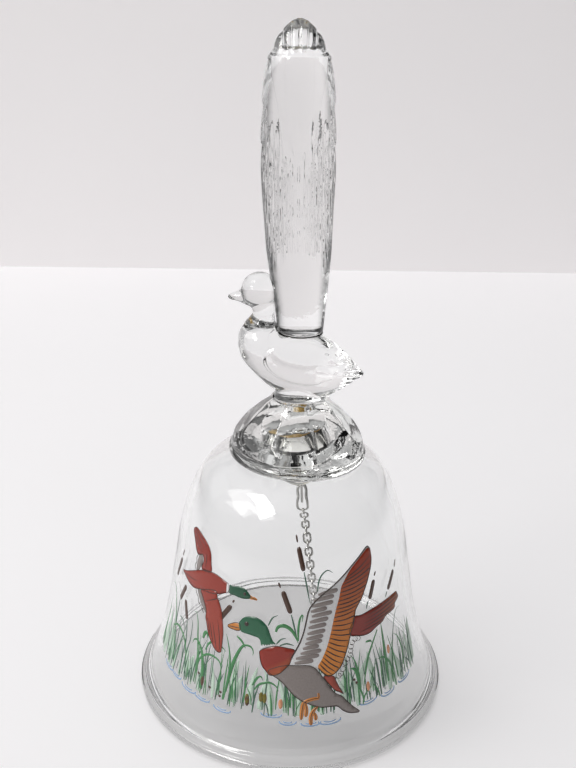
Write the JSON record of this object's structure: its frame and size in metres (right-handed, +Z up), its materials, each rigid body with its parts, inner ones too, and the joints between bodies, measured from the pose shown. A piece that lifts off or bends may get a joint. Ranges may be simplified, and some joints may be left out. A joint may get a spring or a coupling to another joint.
{
  "type": "glass hand bell",
  "caption": "Clear glass table bell with a beaded rim, facetted foot, duck and tall leaf-plume handle in moulded glass, and a ball clapper on a fine chain.",
  "frame": {"origin": "centre of the bell's mouth, on the plane that the rim stands on", "axes": "+Z up along the bell's axis to the tip of the handle; the duck on the handle faces -X; the printed side of the bell faces -Y"},
  "size_m": [0.08, 0.08, 0.1656],
  "materials": {
    "bell_glass": "gloss",
    "moulded_glass": "gloss",
    "clear_resin": "gloss",
    "clear_adhesive": "gloss",
    "aged_adhesive": "gloss",
    "nickel_wire": "satin",
    "nickel_ball": "gloss",
    "fired_enamel": "gloss"
  },
  "bodies": {
    "bell": {"bell_shell": "bell_glass", "pedestal_foot": "moulded_glass", "foot_glue": "aged_adhesive", "duck_figure": "moulded_glass", "duck_glue": "clear_adhesive", "plume_glue": "clear_adhesive", "plume_handle": "moulded_glass", "clapper_plug": "clear_resin", "anchor_eye": "nickel_wire"},
    "top_ring_body": {"top_ring": "nickel_wire"},
    "chain_link_01_body": {"chain_link_01": "nickel_wire"},
    "chain_link_02_body": {"chain_link_02": "nickel_wire"},
    "chain_link_03_body": {"chain_link_03": "nickel_wire"},
    "chain_link_04_body": {"chain_link_04": "nickel_wire"},
    "chain_link_05_body": {"chain_link_05": "nickel_wire"},
    "chain_link_06_body": {"chain_link_06": "nickel_wire"},
    "chain_link_07_body": {"chain_link_07": "nickel_wire"},
    "chain_link_08_body": {"chain_link_08": "nickel_wire"},
    "chain_link_09_body": {"chain_link_09": "nickel_wire"},
    "chain_link_10_body": {"chain_link_10": "nickel_wire"},
    "chain_link_11_body": {"chain_link_11": "nickel_wire"},
    "chain_link_12_body": {"chain_link_12": "nickel_wire"},
    "chain_link_13_body": {"chain_link_13": "nickel_wire"},
    "chain_link_14_body": {"chain_link_14": "nickel_wire"},
    "chain_link_15_body": {"chain_link_15": "nickel_wire"},
    "chain_link_16_body": {"chain_link_16": "nickel_wire"},
    "chain_link_17_body": {"chain_link_17": "nickel_wire"},
    "chain_link_18_body": {"chain_link_18": "nickel_wire"},
    "chain_link_19_body": {"chain_link_19": "nickel_wire"},
    "bottom_ring_body": {"bottom_ring": "nickel_wire"},
    "clapper_body": {"clapper": "nickel_ball", "clapper_eye": "nickel_wire"}
  },
  "joints": [
    {"name": "top_ring_swing", "type": "hinge", "parent": "bell", "child": "top_ring_body", "pos_m": [0.00225, 0, 0.05396], "axis": [0, 1, 0], "range_deg": [-23, 35]},
    {"name": "link_01_swing", "type": "hinge", "parent": "top_ring_body", "child": "chain_link_01_body", "pos_m": [0.00258, 0, 0.05122], "axis": [0.9928, 0, 0.1201], "range_deg": [-34, 34]},
    {"name": "link_02_swing", "type": "hinge", "parent": "chain_link_01_body", "child": "chain_link_02_body", "pos_m": [0.00282, 0, 0.04926], "axis": [0, -1, 0], "range_deg": [-35, 26]},
    {"name": "link_03_swing", "type": "hinge", "parent": "chain_link_02_body", "child": "chain_link_03_body", "pos_m": [0.00306, 0, 0.04727], "axis": [-0.9928, 0, -0.1201], "range_deg": [-35, 35]},
    {"name": "link_04_swing", "type": "hinge", "parent": "chain_link_03_body", "child": "chain_link_04_body", "pos_m": [0.0033, 0, 0.04529], "axis": [0, -1, 0], "range_deg": [-35, 29]},
    {"name": "link_05_swing", "type": "hinge", "parent": "chain_link_04_body", "child": "chain_link_05_body", "pos_m": [0.00354, 0, 0.0433], "axis": [-0.9928, 0, -0.1201], "range_deg": [-35, 35]},
    {"name": "link_06_swing", "type": "hinge", "parent": "chain_link_05_body", "child": "chain_link_06_body", "pos_m": [0.00378, 0, 0.04132], "axis": [0, 1, 0], "range_deg": [-32, 35]},
    {"name": "link_07_swing", "type": "hinge", "parent": "chain_link_06_body", "child": "chain_link_07_body", "pos_m": [0.00402, 0, 0.03933], "axis": [0.9928, 0, 0.1201], "range_deg": [-35, 35]},
    {"name": "link_08_swing", "type": "hinge", "parent": "chain_link_07_body", "child": "chain_link_08_body", "pos_m": [0.00426, 0, 0.03735], "axis": [0, 1, 0], "range_deg": [-35, 35]},
    {"name": "link_09_swing", "type": "hinge", "parent": "chain_link_08_body", "child": "chain_link_09_body", "pos_m": [0.0045, 0, 0.03536], "axis": [0.9928, 0, 0.1201], "range_deg": [-35, 35]},
    {"name": "link_10_swing", "type": "hinge", "parent": "chain_link_09_body", "child": "chain_link_10_body", "pos_m": [0.00474, 0, 0.03337], "axis": [0, -1, 0], "range_deg": [-35, 35]},
    {"name": "link_11_swing", "type": "hinge", "parent": "chain_link_10_body", "child": "chain_link_11_body", "pos_m": [0.00498, 0, 0.03139], "axis": [-0.9928, 0, -0.1201], "range_deg": [-35, 35]},
    {"name": "link_12_swing", "type": "hinge", "parent": "chain_link_11_body", "child": "chain_link_12_body", "pos_m": [0.00522, 0, 0.0294], "axis": [0, -1, 0], "range_deg": [-35, 35]},
    {"name": "link_13_swing", "type": "hinge", "parent": "chain_link_12_body", "child": "chain_link_13_body", "pos_m": [0.00546, 0, 0.02742], "axis": [-0.9928, 0, -0.1201], "range_deg": [-35, 35]},
    {"name": "link_14_swing", "type": "hinge", "parent": "chain_link_13_body", "child": "chain_link_14_body", "pos_m": [0.0057, 0, 0.02543], "axis": [0, 1, 0], "range_deg": [-35, 35]},
    {"name": "link_15_swing", "type": "hinge", "parent": "chain_link_14_body", "child": "chain_link_15_body", "pos_m": [0.00594, 0, 0.02345], "axis": [0.9928, 0, 0.1201], "range_deg": [-35, 35]},
    {"name": "link_16_swing", "type": "hinge", "parent": "chain_link_15_body", "child": "chain_link_16_body", "pos_m": [0.00618, 0, 0.02146], "axis": [0, 1, 0], "range_deg": [-35, 35]},
    {"name": "link_17_swing", "type": "hinge", "parent": "chain_link_16_body", "child": "chain_link_17_body", "pos_m": [0.00642, 0, 0.01948], "axis": [0.9928, 0, 0.1201], "range_deg": [-35, 35]},
    {"name": "link_18_swing", "type": "hinge", "parent": "chain_link_17_body", "child": "chain_link_18_body", "pos_m": [0.00666, 0, 0.01749], "axis": [0, -1, 0], "range_deg": [-35, 35]},
    {"name": "link_19_swing", "type": "hinge", "parent": "chain_link_18_body", "child": "chain_link_19_body", "pos_m": [0.0069, 0, 0.0155], "axis": [-0.9928, 0, -0.1201], "range_deg": [-35, 35]},
    {"name": "bottom_ring_swing", "type": "hinge", "parent": "chain_link_19_body", "child": "bottom_ring_body", "pos_m": [0.00714, 0, 0.01352], "axis": [0, -1, 0], "range_deg": [-35, 35]},
    {"name": "clapper_swing", "type": "hinge", "parent": "bottom_ring_body", "child": "clapper_body", "pos_m": [0.00748, 0, 0.01075], "axis": [-0.9928, 0, -0.1201], "range_deg": [-35, 35]}
  ]
}
